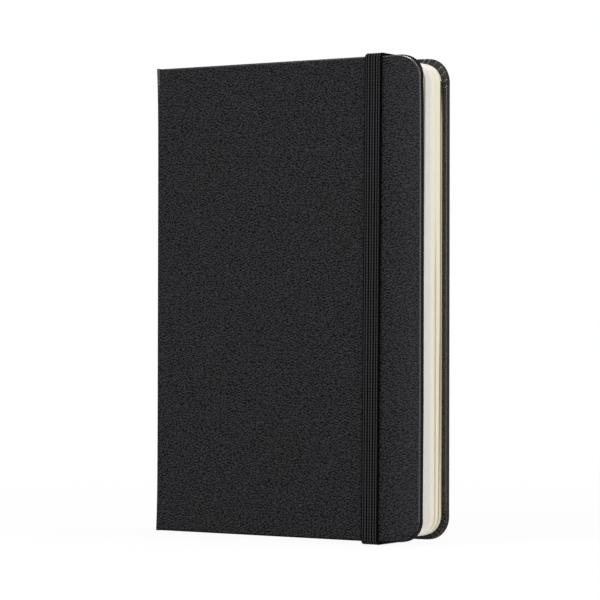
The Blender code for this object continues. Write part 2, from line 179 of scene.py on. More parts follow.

# Places where the block stands a little open, with lines of painted shade along them
GAP_LEAVES = 3
GAP_DEPTH = 0.3 * MM
GAP_TRACE = 0.06 * MM
GAP_FADE = 30.0 * MM
GAP_TOP = MID_HEIGHT
MIDDLE_GAP_AFTER = 9
MIDDLE_GAP = 1.97 * MM
MIDDLE_GAP_SLOPE = 0.004
MIDDLE_GAP_WIDTH = 0.42 * MM
FRONT_GAP = -4.3 * MM
FRONT_GAP_WIDTH = 0.6 * MM
FRONT_GAP_START = HEAD - 7.0 * MM
FRONT_GAP_END = HEAD - 68.0 * MM
POCKET_GAP = 4.02 * MM
POCKET_GAP_SLOPE = 0.0102
POCKET_GAP_WIDTH = 0.45 * MM

# Heights between which the pocket's cut edges change their painted shade
TAIL_TINT_END = TAIL + 8.0 * MM
MIDDLE_TINT_START = TAIL + 60.0 * MM
MIDDLE_TINT_END = HEAD - 22.0 * MM
HEAD_TINT_START = HEAD - 8.0 * MM

# Elastic
BAND_GAP = 0.05 * MM
BAND_RIBS = 6
RIB_GROOVE = 0.3 * MM
PAIR_GROOVE = 0.5 * MM
BAND_SIDE = 0.7 * MM
# Widths at the elastic's sides, spine side then fore-edge side, painted near black as shade
BAND_MARGINS = (0.39 * MM, 0.33 * MM)
RIB_ROUND = 0.28 * MM
RIB_STEPS = 4
RIB_LIT = 0.22 * MM
GROOVE_ROUND = 0.1 * MM
GROOVE_STEPS = 2
BAND_BEND = 0.6 * MM
BEND_STEPS = 8
SLIT_BEND = 0.3 * MM
SLIT_DEPTH = 0.35 * MM
SLIT_CLEARANCE = 0.02 * MM
SLIT_HEIGHT = band_high.y - BACK_FACE - BAND_GAP

SHARP_ANGLE = math.radians(40)


def linear(hex_colour):
    """sRGB hex value as linear RGBA."""
    channels = [int(hex_colour[i:i + 2], 16) / 255 for i in (1, 3, 5)]
    return (*[c / 12.92 if c <= 0.04045 else ((c + 0.055) / 1.055) ** 2.4 for c in channels], 1.0)


def add_node(tree, kind, settings=None, inputs=None):
    """A node with its settings; each input is a value, a socket to link, or a node to link from."""
    made = tree.nodes.new(kind)
    for name, value in (settings or {}).items():
        setattr(made, name, value)
    for key, value in (inputs or {}).items():
        if isinstance(value, bpy.types.Node):
            value = next(socket for socket in value.outputs if socket.enabled)
        if isinstance(value, bpy.types.NodeSocket):
            tree.links.new(value, made.inputs[key])
        else:
            made.inputs[key].default_value = value
    return made


def new_material(name, roughness, specular):
    """An empty Principled material with its tree, shader and texture coordinates."""
    material = bpy.data.materials.new(name)
    material.use_nodes = True
    tree = material.node_tree
    shader = tree.nodes["Principled BSDF"]
    shader.inputs["Roughness"].default_value = roughness
    shader.inputs["Specular IOR Level"].default_value = specular
    place = add_node(tree, "ShaderNodeTexCoord")
    return material, tree, shader, place


def dress(tree, shader, colour, height, depth, strength):
    """Give a shader its colour, and a relief of some depth and strength."""
    bump = add_node(tree, "ShaderNodeBump", None,
                    {"Height": height, "Distance": depth, "Strength": strength})
    tree.links.new(colour.outputs[2], shader.inputs["Base Color"])
    tree.links.new(bump.outputs["Normal"], shader.inputs["Normal"])


def leatherette(name, colours, roughness, specular, relief):
    """Coated cloth with an embossed grain: fine satin ridges that wander round small pits painted almost
    black as shade, and a tone painted lighter towards the fore-edge.
    """
    material, tree, shader, place = new_material(name, roughness, specular)
    grain_length = 0.6 * MM
    grain_width = 0.28 * MM
    grain_height = 0.08 * MM
    grain_slant = math.radians(33)
    grain_twist = 0.3
    row_pitch = 0.86 * MM
    row_wander = 1.0 * MM
    row_swing = 2.0
    row_share = 0.13
    pit_level = 0.35
    ridge_level = 0.65
    patch_width = 22.0 * MM
    lighter_gain = 1.22
    lighter_fill = 0.16
    warm, cool, pit = [linear(colour) for colour in colours]
    here = place.outputs["Object"]
    x, y, z = add_node(tree, "ShaderNodeSeparateXYZ", None, {0: here}).outputs
    around = add_node(tree, "ShaderNodeMath", {"operation": "ADD"}, {0: x, 1: y})
    across = add_node(tree, "ShaderNodeMath", {"operation": "DIVIDE"}, {0: around, 1: grain_length})
    upward = add_node(tree, "ShaderNodeMath", {"operation": "DIVIDE"}, {0: z, 1: grain_width})
    sheet = add_node(tree, "ShaderNodeCombineXYZ", None, {0: across, 1: upward})
    slanted = add_node(tree, "ShaderNodeVectorRotate", {"rotation_type": "Z_AXIS"},
                       {"Vector": sheet, "Angle": grain_slant})
    grain = add_node(tree, "ShaderNodeTexNoise", {"noise_dimensions": "2D"},
                     {"Vector": slanted, "Scale": 1.0, "Detail": 0.0, "Distortion": grain_twist})
    wander = add_node(tree, "ShaderNodeTexNoise", None,
                      {"Vector": here, "Scale": 1 / row_wander, "Detail": 0.0})
    rows = add_node(tree, "ShaderNodeMath", {"operation": "DIVIDE"}, {0: z, 1: row_pitch})
    drift = add_node(tree, "ShaderNodeMath", {"operation": "MULTIPLY_ADD"},
                     {0: wander, 1: row_swing, 2: rows})
    phase = add_node(tree, "ShaderNodeMath", {"operation": "MULTIPLY"}, {0: drift, 1: 2 * math.pi})
    wave = add_node(tree, "ShaderNodeMath", {"operation": "SINE"}, {0: phase})
    height = add_node(tree, "ShaderNodeMath", {"operation": "MULTIPLY_ADD"},
                      {0: wave, 1: row_share, 2: grain})
    ridge = add_node(tree, "ShaderNodeMapRange", {"interpolation_type": "SMOOTHSTEP"},
                     {"Value": height, "From Min": pit_level, "From Max": ridge_level})
    patches = add_node(tree, "ShaderNodeTexNoise", None,
                       {"Vector": here, "Scale": 1 / patch_width, "Detail": 2.0})
    tone = add_node(tree, "ShaderNodeMix", {"data_type": "RGBA"}, {0: patches, 6: warm, 7: cool})
    # Towards the fore-edge the tone is painted lighter and the pits less dark, as light falls there
    lighter_zone = {"Value": x, "From Min": LIGHTER_FROM, "From Max": LIGHTER_TO}
    gain = add_node(tree, "ShaderNodeMapRange", None, {**lighter_zone, "To Min": 1.0, "To Max": lighter_gain})
    fill = add_node(tree, "ShaderNodeMapRange", None, {**lighter_zone, "To Max": lighter_fill})
    filled = add_node(tree, "ShaderNodeMapRange", None, {"Value": ridge, "To Min": fill})
    lightened = add_node(tree, "ShaderNodeHueSaturation", None, {"Value": gain, "Color": tone})
    colour = add_node(tree, "ShaderNodeMix", {"data_type": "RGBA"}, {0: filled, 6: pit, 7: lightened})
    dress(tree, shader, colour, ridge, grain_height, relief)
    return material


def woven_elastic(name, dark, light, specular):
    """Polyester braid over rubber: dull ribs crossed by lines of yarn, drawn coarser than real to show."""
    material, tree, shader, place = new_material(name, roughness=0.65, specular=specular)
    yarn_pitch = 0.9 * MM
    yarn_height = 0.06 * MM
    fuzz_width = 0.6 * MM
    fuzz_share = 0.8
    full_relief = 1.6
    here = place.outputs["Object"]
    _, y, z = add_node(tree, "ShaderNodeSeparateXYZ", None, {0: here}).outputs
    along = add_node(tree, "ShaderNodeMath", {"operation": "ADD"}, {0: y, 1: z})
    phase = add_node(tree, "ShaderNodeMath", {"operation": "MULTIPLY"},
                     {0: along, 1: 2 * math.pi / yarn_pitch})
    wave = add_node(tree, "ShaderNodeMath", {"operation": "SINE"}, {0: phase})
    yarn = add_node(tree, "ShaderNodeMapRange", None, {"Value": wave, "From Min": -1.0})
    fuzz = add_node(tree, "ShaderNodeTexNoise", None,
                    {"Vector": here, "Scale": 1 / fuzz_width, "Detail": 2.0})
    relief = add_node(tree, "ShaderNodeMath", {"operation": "MULTIPLY_ADD"},
                      {0: fuzz, 1: fuzz_share, 2: yarn})
    shade = add_node(tree, "ShaderNodeMapRange", None, {"Value": relief, "From Max": full_relief})
    colour = add_node(tree, "ShaderNodeMix", {"data_type": "RGBA"},
                      {0: shade, 6: linear(dark), 7: linear(light)})
    dress(tree, shader, colour, relief, yarn_height, strength=0.7)
    return material


def leans(tree, place):
    """How far a surface faces front or back, and how far it faces head or tail, each from 0 to 1."""
    _, y, z = add_node(tree, "ShaderNodeSeparateXYZ", None, {0: place.outputs["Normal"]}).outputs
    return [add_node(tree, "ShaderNodeMath", {"operation": "ABSOLUTE"}, {0: part}) for part in (y, z)]


def gap_shade_line(tree, axes, colour, middle, slope, width, tint, start, end):
    """A line of painted shade along the block's edge where it stands open, faded in between two heights."""
    _, y, z = axes.outputs
    line = add_node(tree, "ShaderNodeMath", {"operation": "MULTIPLY_ADD"}, {0: z, 1: -slope, 2: y})
    shade = add_node(tree, "ShaderNodeMapRange", {"interpolation_type": "SMOOTHSTEP"},
                     {"Value": z, "From Min": start, "From Max": end})
    away = add_node(tree, "ShaderNodeMath", {"operation": "SUBTRACT"}, {0: line, 1: middle})
    off = add_node(tree, "ShaderNodeMath", {"operation": "ABSOLUTE"}, {0: away})
    near = add_node(tree, "ShaderNodeMapRange", {"interpolation_type": "SMOOTHSTEP"},
                    {"Value": off, "From Min": width, "From Max": width / 2})
    dark = add_node(tree, "ShaderNodeMath", {"operation": "MULTIPLY"}, {0: near, 1: shade})
    return add_node(tree, "ShaderNodeMix", {"data_type": "RGBA"}, {0: dark, 6: colour, 7: linear(tint)})


def ivory_paper():
    """Uncoated ivory stock: warm matt faces with a soft fibre mottle, and cut edges painted from grey shade
    at the front to cream.
    """
    material, tree, shader, place = new_material("ivory_paper", roughness=0.85, specular=0.15)
    fibre_width = 0.4 * MM
    fibre_height = 0.01 * MM
    fibre_share = 0.4
    cloud_width = 6.0 * MM
    shade_until = -1.7 * MM
    cream_from = 0.2 * MM
    here = place.outputs["Object"]
    fibres = add_node(tree, "ShaderNodeTexNoise", None,
                      {"Vector": here, "Scale": 1 / fibre_width, "Detail": 3.0, "Roughness": 0.6})
    clouds = add_node(tree, "ShaderNodeTexNoise", None,
                      {"Vector": here, "Scale": 1 / cloud_width, "Detail": 2.0})
    mottle = add_node(tree, "ShaderNodeMath", {"operation": "MULTIPLY_ADD"},
                      {0: fibres, 1: fibre_share, 2: clouds})
    share = add_node(tree, "ShaderNodeMapRange", None, {"Value": mottle, "From Min": 0.4, "From Max": 1.0})
    face = add_node(tree, "ShaderNodeMix", {"data_type": "RGBA"},
                    {0: share, 6: linear("#ebe4cf"), 7: linear("#f1ebd9")})
    axes = add_node(tree, "ShaderNodeSeparateXYZ", None, {0: here})
    # Cut edges near the front cover are painted grey as its shade
    depth = add_node(tree, "ShaderNodeMapRange", {"interpolation_type": "SMOOTHSTEP"},
                     {"Value": axes.outputs["Y"], "From Min": shade_until, "From Max": cream_from})
    cut = add_node(tree, "ShaderNodeMix", {"data_type": "RGBA"},
                   {0: depth, 6: linear("#d6d4d2"), 7: linear("#e6e0cd")})
    # Painted shade where the front of the block stands open near the head
    edge = gap_shade_line(tree, axes, cut, FRONT_GAP, 0.0, FRONT_GAP_WIDTH, "#6f6757",
                    FRONT_GAP_END, FRONT_GAP_START)
    flat, tilt = leans(tree, place)
    # Round ends at head and tail painted paler, as the light that falls on them
    round_end = add_node(tree, "ShaderNodeMapRange", None,
                         {"Value": tilt, "From Min": 0.2, "From Max": 0.8})
    pale = add_node(tree, "ShaderNodeMix", {"data_type": "RGBA"},
                    {0: round_end, 6: edge, 7: linear("#e8e7e2")})
    # Painted shade where the block stands open in its middle and at the pocket
    lined = gap_shade_line(tree, axes, pale, MIDDLE_GAP, MIDDLE_GAP_SLOPE, MIDDLE_GAP_WIDTH, "#a2966d",
                     GAP_TOP + GAP_FADE, GAP_TOP)
    lined = gap_shade_line(tree, axes, lined, POCKET_GAP, POCKET_GAP_SLOPE, POCKET_GAP_WIDTH, "#6b5f45",
                     GAP_TOP, GAP_TOP - GAP_FADE)
    colour = add_node(tree, "ShaderNodeMix", {"data_type": "RGBA"}, {0: flat, 6: lined, 7: face})
    dress(tree, shader, colour, fibres, fibre_height, strength=0.5)
    return material


def tint_edges(tree, place, colour, tints):
    """Colour kept on faces; cut edges take three tints from tail to head, and one at round ends, which paint
    the shade and light that fall there.
    """
    tail, middle, head, end = [linear(tint) for tint in tints]
    z = add_node(tree, "ShaderNodeSeparateXYZ", None, {0: place.outputs["Object"]}).outputs["Z"]
    flat, tilt = leans(tree, place)
    low = add_node(tree, "ShaderNodeMapRange", {"interpolation_type": "SMOOTHSTEP"},
                   {"Value": z, "From Min": TAIL_TINT_END, "From Max": MIDDLE_TINT_START})
    high = add_node(tree, "ShaderNodeMapRange", {"interpolation_type": "SMOOTHSTEP"},
                    {"Value": z, "From Min": MIDDLE_TINT_END, "From Max": HEAD_TINT_START})
    below = add_node(tree, "ShaderNodeMix", {"data_type": "RGBA"}, {0: low, 6: tail, 7: middle})
    edge = add_node(tree, "ShaderNodeMix", {"data_type": "RGBA"}, {0: high, 6: below, 7: head})
    round_end = add_node(tree, "ShaderNodeMapRange", None,
                         {"Value": tilt, "From Min": 0.1, "From Max": 0.5})
    cut = add_node(tree, "ShaderNodeMix", {"data_type": "RGBA"}, {0: round_end, 6: edge, 7: end})
    return add_node(tree, "ShaderNodeMix", {"data_type": "RGBA"}, {0: flat, 6: cut, 7: colour})


def fibre_board(name, light, dark, fleck_width, tints=None):
    """Pressed paper board or card: dull, with short flecks of fibre in a second tone."""
    material, tree, shader, place = new_material(name, roughness=0.9, specular=0.12)
    fleck_height = 0.03 * MM
    flecks = add_node(tree, "ShaderNodeTexNoise", None,
                      {"Vector": place.outputs["Object"], "Scale": 1 / fleck_width,
                       "Detail": 4.0, "Roughness": 0.65})
    share = add_node(tree, "ShaderNodeMapRange", None,
                     {"Value": flecks, "From Min": 0.35, "From Max": 0.65})
    colour = add_node(tree, "ShaderNodeMix", {"data_type": "RGBA"},
                      {0: share, 6: linear(dark), 7: linear(light)})
    if tints:
        colour = tint_edges(tree, place, colour, tints)
    dress(tree, shader, colour, flecks, fleck_height, strength=0.4)
    return material


def plain_weave(name, light, dark, thread_pitch, tints=None):
    """Plain-woven cloth: warp and weft threads cross at one pitch and leave small dark holes."""
    material, tree, shader, place = new_material(name, roughness=0.9, specular=0.1)
    thread_height = 0.06 * MM
    x, y, z = add_node(tree, "ShaderNodeSeparateXYZ", None, {0: place.outputs["Object"]}).outputs
    across = add_node(tree, "ShaderNodeMath", {"operation": "ADD"}, {0: x, 1: y})
    threads = []
    for line in (across, z):
        phase = add_node(tree, "ShaderNodeMath", {"operation": "MULTIPLY"},
                         {0: line, 1: math.pi / thread_pitch})
        sine = add_node(tree, "ShaderNodeMath", {"operation": "SINE"}, {0: phase})
        threads.append(add_node(tree, "ShaderNodeMath", {"operation": "ABSOLUTE"}, {0: sine}))
    warp, weft = threads
    weave = add_node(tree, "ShaderNodeMath", {"operation": "MULTIPLY"}, {0: warp, 1: weft})
    colour = add_node(tree, "ShaderNodeMix", {"data_type": "RGBA"},
                      {0: weave, 6: linear(dark), 7: linear(light)})
    if tints:
        colour = tint_edges(tree, place, colour, tints)
    dress(tree, shader, colour, weave, thread_height, strength=0.6)
    return material


# Leatherette finishes: two tones and the pits, whose darkness is painted shade, then roughness, specular
# level and strength of the relief
# Flat of the sheet: satin ridges round pits painted black as shade
GRAINED_BLACK = leatherette("embossed_leatherette", ("#2f2e2f", "#303035", "#010101"), 0.5, 0.06, 0.5)
# Round edges, polished by handling to a thin line of gloss
RUBBED_BLACK = leatherette("rubbed_leatherette", ("#2f2c2a", "#2f2d2c", "#0b0a0a"), 0.2, 0.5, 0.2)
# Walls and ends: without gloss, and painted near black as shade
DULL_SHADED_BLACK = leatherette("dull_shaded_leatherette", ("#161413", "#161515", "#080707"), 0.8, 0.05, 0.3)
# Walls of the back cover: soft grey-black, without gloss
TURNED_BLACK = leatherette("turned_leatherette", ("#2f2c2b", "#2e2d2c", "#0d0c0b"), 0.6, 0.06, 0.4)
# Crests of pleats and the fading end of the corner's glint: a pale grey painted as a highlight
PALE_GLINT_BLACK = leatherette("pale_glint_leatherette", ("#7a7570", "#77736e", "#5c5852"), 0.4, 0.2, 0.2)
# Turn-in pressed smooth against its board, with a weak grain: a dark grey painted lighter than the sheet, as
# light in its recess
PRESSED_LIT_BLACK = leatherette("pressed_lit_leatherette", ("#464240", "#444140", "#1e1c1b"), 0.6, 0.06, 0.3)
# Head corner, polished smooth to a bright glint, its paler tint a painted highlight
BURNISHED_GLINT_BLACK = leatherette("burnished_glint_leatherette", ("#66635e", "#63615c", "#484540"), 0.13, 1.0, 0.05)
# Head of the joint: worn, in a warm grey that is partly a painted sheen where the bend catches light
WORN_SHEEN_BLACK = leatherette("worn_sheen_leatherette", ("#5f5852", "#5c5651", "#403b37"), 0.6, 0.06, 0.3)

# Finishes of the two covers, and the place of each in the list
WEAR_AND_LIGHT_FINISHES = (PALE_GLINT_BLACK, BURNISHED_GLINT_BLACK, PRESSED_LIT_BLACK, WORN_SHEEN_BLACK)
FRONT_FINISHES = (GRAINED_BLACK, RUBBED_BLACK, DULL_SHADED_BLACK, *WEAR_AND_LIGHT_FINISHES)
BACK_FINISHES = (GRAINED_BLACK, RUBBED_BLACK, TURNED_BLACK, *WEAR_AND_LIGHT_FINISHES)
GRAINED, RUBBED, WALL, PALE_GLINT, BURNISHED_GLINT, PRESSED_LIT, WORN_SHEEN = range(7)

# Elastic: yarn on the ribs catches some light, and the grooves and sides take a near black painted shade
BLACK_ELASTIC = woven_elastic("woven_elastic", "#171718", "#38383b", 0.1)
ELASTIC_SHADE = woven_elastic("elastic_painted_shade", "#030303", "#080808", 0.02)

# Paper, board and card: matt, cream or grey, with painted shade and light on their cut edges where they lie
# in the block
CARD_SHADING = ("#d8cfb6", "#463c28", "#6e6349", "#ffffff")
LINER_SHADING = ("#4e473b", "#bdb294", "#15120f", "#15120f")
PAPER = ivory_paper()
GREY_BOARD = fibre_board("grey_board", "#a19a8f", "#857f75", 0.5 * MM)
POCKET_CARD = fibre_board("pocket_card", "#fbf9f2", "#f0ecdf", 0.4 * MM, CARD_SHADING)
POCKET_LINER = fibre_board("pocket_liner", "#fbf9f2", "#f0ecdf", 0.4 * MM, LINER_SHADING)

# Cloth and thread: unbleached linen and gauze, matt, with an open weave
# Cut edges of the gusset painted near black as shade towards the head and at its round ends
GUSSET_SHADING = ("#d2c8ac", "#aea388", "#1a1712", "#1a1712")
GUSSET_CLOTH = plain_weave("gusset_linen", "#b5a988", "#857858", 0.35 * MM, GUSSET_SHADING)
LINING_CLOTH = plain_weave("lining_gauze", "#e4e0d4", "#b5b0a2", 0.6 * MM)
SEWING_THREAD = plain_weave("linen_thread", "#ece8dc", "#c3bdae", 0.25 * MM)


def make_piece(name, bm, materials, stands_for=()):
    """Turn a bmesh into a smooth-shaded object that stands for CAD nodes."""
    mesh = bpy.data.meshes.new(name)
    bm.to_mesh(mesh)
    bm.free()
    for material in materials:
        mesh.materials.append(material)
    mesh.shade_smooth()
    mesh.set_sharp_from_angle(angle=SHARP_ANGLE)
    piece = bpy.data.objects.new(name, mesh)
    bpy.context.scene.collection.objects.link(piece)
    if stands_for:
        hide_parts(*stands_for)
    return piece


def verts_of(geom):
    """The vertices in an operator's result."""
    return [item for item in geom if isinstance(item, bmesh.types.BMVert)]


def face_of(geom):
    """The one face in an operator's result."""
    return next(item for item in geom if isinstance(item, bmesh.types.BMFace))


def share_of(value, start, full):
    """How far a value has come from a start to a full measure, from 0 to 1."""
    return min(1.0, max(0.0, (value - start) / (full - start)))


def rounded_panel(bm, x_spine, x_edge, z_tail, z_head, radius, steps):
    """A flat face in the XZ plane, square at the spine and round at the fore-edge."""
    low = [bm.verts.new((x, 0.0, z_tail)) for x in (x_spine, x_edge)]
    high = [bm.verts.new((x, 0.0, z_head)) for x in (x_edge, x_spine)]
    bm.faces.new(low + high)
    bmesh.ops.bevel(bm, geom=[low[1], high[0]], offset=radius, segments=steps,
                    profile=0.5, affect="VERTICES", material=-1)
    return bm.faces[:][0]


def run_straight(bm, face, step):
    """Carry a section on by a straight run."""
    made = bmesh.ops.extrude_face_region(bm, geom=[face])["geom"]
    bmesh.ops.translate(bm, verts=verts_of(made), vec=step)
    return face_of(made)


def cut_across(bm, axis, *places):
    """Cut every face square across an axis, at each place along it."""
    for place in places:
        everything = bm.verts[:] + bm.edges[:] + bm.faces[:]
        bmesh.ops.bisect_plane(bm, geom=everything, plane_co=axis * place, plane_no=axis)


def bend_at_joint(x, depth):
    """Where a point of the flat sheet lies once the sheet is bent round the joint: X and depth."""
    past = SPINE_FACE + JOINT_RADIUS - x
    if past <= 0:
        return x, depth
    if past >= JOINT_ARC:
        return SPINE_FACE + depth, JOINT_RADIUS + past - JOINT_ARC
    angle = past / JOINT_RADIUS
    radius = JOINT_RADIUS - depth
    return (SPINE_FACE + JOINT_RADIUS - radius * math.sin(angle),
            JOINT_RADIUS - radius * math.cos(angle))


def spine_flare(x, z):
    """How far the sheet stands off the spine strip, most of all at the spine's ends."""
    head = HEAD_FLARE * math.exp((z - HEAD) / FLARE_REACH)
    tail = TAIL_FLARE * math.exp((TAIL - z) / FLARE_REACH)
    fade = share_of(x, SPINE_FACE + FLARE_FADE, SPINE_FACE)
    return (SPINE_CROWN + (head + tail)) * fade * fade


def spine_cap(x, z):
    """How far the sheet's turned ends stand above and below the spine."""
    head = HEAD_CAP * math.exp((z - HEAD) / CAP_REACH)
    tail = TAIL_CAP * math.exp((TAIL - z) / CAP_REACH)
    return (head - tail) * share_of(x, SPINE_FACE + CAP_FADE, SPINE_FACE)


def drawn_in(x, z):
    """How far the front cover draws in past its round corners, in X, and rises at its tail corner, in Z."""
    from_head = HEAD - z
    from_tail = z - TAIL
    outward = share_of(x, FORE_EDGE - DRAW_SPREAD, FORE_EDGE)
    by_head = HEAD_DRAW * math.exp(-from_head / HEAD_DRAW_REACH) * share_of(from_head, DRAW_FROM, DRAW_FULL)
    low = share_of(from_tail, TAIL_DRAW_REACH, 0.0)
    by_tail = TAIL_DRAW * low * share_of(from_tail, DRAW_FROM, DRAW_FULL)
    rise = TAIL_RISE * low * share_of(x, FORE_EDGE - DRAW_SPREAD, FORE_EDGE - RISE_FULL)
    return outward * (by_head + by_tail), rise


def corner_turn(place):
    """Angle round the head corner, from the fore-edge to the head, or None away from that corner."""
    out_x = place.x - (FORE_EDGE - CORNER_RADIUS)
    out_z = place.z - (HEAD - CORNER_RADIUS)
    return math.atan2(out_z, out_x) if out_x > 0 and out_z > 0 else None


def sort_finishes(bm):
    """Finish of each face while the sheet lies flat: grained, rubbed round the edge, or that of a wall."""
    bm.normal_update()
    for face in bm.faces:
        lean = abs(face.normal.y)
        middle = face.calc_center_median()
        if lean > FLAT_LEAN:
            face.material_index = GRAINED
        elif lean < WALL_LEAN or middle.z < DULL_BELOW:
            face.material_index = WALL
        else:
            face.material_index = RUBBED if middle.z > RUBBED_ABOVE else GRAINED


def dull_rim(bm, head_lean, edge_lean):
    """Leave gloss only on a line of the round edge: faces that lean less than a measure stay dull, in the
    wall finish, which on the front cover is painted shade.
    """
    for face in bm.faces:
        rubbed_lean = head_lean if abs(face.normal.z) > abs(face.normal.x) else edge_lean
        if face.material_index == RUBBED and abs(face.normal.y) < rubbed_lean:
            face.material_index = WALL


def soften_corner(bm):
    """Round the edge more at the head corner, and finish it there: a glossy line whose paler tint paints part
    of the glint, a pale painted highlight where it fades, and the wall finish, on the front cover painted
    shade, on the rest.
    """
    for vert in bm.verts:
        turn = corner_turn(vert.co)
        if turn is None or vert.co.y > EDGE_RADIUS * EDGE_SLACK:
            continue
        share = 1 + (CORNER_SOFTNESS - 1) * min(1.0, CORNER_GAIN * math.sin(2 * turn))
        centre = Vector((FORE_EDGE - CORNER_RADIUS, vert.co.y, HEAD - CORNER_RADIUS))
        out = vert.co - centre
        inset = CORNER_RADIUS - out.length
        vert.co = centre + out.normalized() * (CORNER_RADIUS - inset * share)
        vert.co.y *= share
    for face in bm.faces:
        turn = corner_turn(face.calc_center_median())
        lean = abs(face.normal.y)
        if turn is None or turn < CORNER_LIGHT_FROM or lean > GLINT_LEAN[1]:
            continue
        if turn > GLINT_TO or lean < GLINT_LEAN[0]:
            face.material_index = WALL
        else:
            face.material_index = BURNISHED_GLINT if turn > GLINT_FROM else PALE_GLINT


def wear_and_sheen_joint(bm, lightened):
    """Keep the gloss off the spine, and give the sheet where it bends at the spine's head a worn, paler tone
    that is partly a painted sheen, fading through the turn-in's painted lighter finish.
    """
    for face in bm.faces:
        middle = face.calc_center_median()
        if middle.x < SPINE_FACE + FLARE_FADE and face.material_index == RUBBED:
            face.material_index = GRAINED
        at_bend = abs(middle.x - SPINE_FACE) < WORN_SHEEN_JOINT and middle.y < EDGE_RADIUS
        if lightened and at_bend and middle.z > HEAD - WORN_SHEEN_FADE:
            face.material_index = WORN_SHEEN if middle.z > HEAD - WORN_SHEEN_REACH else PRESSED_LIT


def flat_skin(spine_middle, lightened):
    """Outer sheet of a cover while it lies flat: rounded edges, finishes, and cuts where it bends."""
    bm = bmesh.new()
    rounded_panel(bm, spine_middle, FORE_EDGE, TAIL, HEAD, CORNER_RADIUS, CORNER_STEPS)
    rim = [e for e in bm.edges if any(v.co.x > spine_middle + MM for v in e.verts)]
    wall = bmesh.ops.extrude_edge_only(bm, edges=rim)["geom"]
    bmesh.ops.translate(bm, verts=verts_of(wall), vec=(0.0, EDGE_WALL, 0.0))
    bmesh.ops.bevel(bm, geom=rim, offset=EDGE_RADIUS, segments=EDGE_STEPS,
                    profile=0.5, affect="EDGES", material=-1)
    sort_finishes(bm)
    dull_rim(bm, *OUTER_RUB)
    soften_corner(bm)
    for step in range(JOINT_STEPS + 1):
        cut_across(bm, X_AXIS, SPINE_FACE + JOINT_RADIUS - JOINT_ARC * step / JOINT_STEPS)
    cut_across(bm, X_AXIS, *[SPINE_FACE + distance for distance in (WORN_SHEEN_JOINT, *FADE_CUTS)])
    for distance in FLARE_CUTS:
        cut_across(bm, Z_AXIS, TAIL + distance, HEAD - distance)
    cut_across(bm, X_AXIS, *[FORE_EDGE - distance for distance in DRAW_CUTS])
    wear_and_sheen_joint(bm, lightened)
    return bm


def open_slit(bm, low, high):
    """Cut a slit for the elastic out of a flat sheet."""
    cut_across(bm, X_AXIS, low.x, high.x)
    cut_across(bm, Z_AXIS, low.z, high.z)
    gap = []
    for face in bm.faces:
        middle = face.calc_center_median()
        if low.x < middle.x < high.x and low.z < middle.z < high.z:
            gap.append(face)
    bmesh.ops.delete(bm, geom=gap, context="FACES")


def cover_skin(face, inward, slits):
    """Outer sheet of a cover: face and rounded edges, bent round the joint to the middle of the spine."""
    spine_middle = SPINE_FACE + JOINT_RADIUS - JOINT_ARC - (abs(face) - JOINT_RADIUS)
    bm = flat_skin(spine_middle, inward > 0)
    for low, high in slits:
        open_slit(bm, low, high)
    bmesh.ops.recalc_face_normals(bm, faces=bm.faces)
    bmesh.ops.solidify(bm, geom=bm.faces[:], thickness=LEATHERETTE)
    for vert in bm.verts:
        x, depth = bend_at_joint(vert.co.x, vert.co.y)
        z = vert.co.z + spine_cap(x, vert.co.z)
        draw, rise = drawn_in(x, vert.co.z) if inward > 0 else (0.0, 0.0)
        vert.co = (x - spine_flare(x, vert.co.z) - draw, face + inward * depth, z + rise)
    if inward < 0:
        bmesh.ops.reverse_faces(bm, faces=bm.faces)
    return bm


def pleat_row(chance, crest):
    """The pleats of one corner: place across the row, half width of crest, depth beside it, pale or not, a
    pale crest being a painted highlight.
    """
    row = []
    for pleat in range(PLEATS):
        place = (pleat + 0.5 + chance.uniform(-PLEAT_DRIFT, PLEAT_DRIFT)) / PLEATS
        width = crest * chance.uniform(*PLEAT_WIDTHS) / PLEATS
        row.append((place, width, PLEAT_DEPTH * chance.uniform(*PLEAT_DEPTHS), pleat % PALE_EVERY == 0))
    return row


def pleat_fold(place, rows):
    """How far a point lies down from its crest (0 to 1), how deep the fold is, and if the crest is painted
    pale as a highlight.
    """
    out_x = place.x - (FORE_EDGE - CORNER_RADIUS) + PLEAT_CENTRE
    out_z = abs(place.z - MID_HEIGHT) - (COVER_HEIGHT / 2 - CORNER_RADIUS) + PLEAT_CENTRE
    across = (math.atan2(out_z, out_x) - PLEAT_FROM) / (PLEAT_TO - PLEAT_FROM)
    if not 0 < across < 1:
        return 1.0, 0.0, False
    row = rows[0] if place.z > MID_HEIGHT else rows[1]
    crest, width, depth, pale = min(row, key=lambda pleat: abs(across - pleat[0]))
    fade = min(1.0, across / PLEAT_FADE, (1 - across) / PLEAT_FADE)
    return 1.0 - math.exp(-((across - crest) / width) ** 2), depth * fade, pale


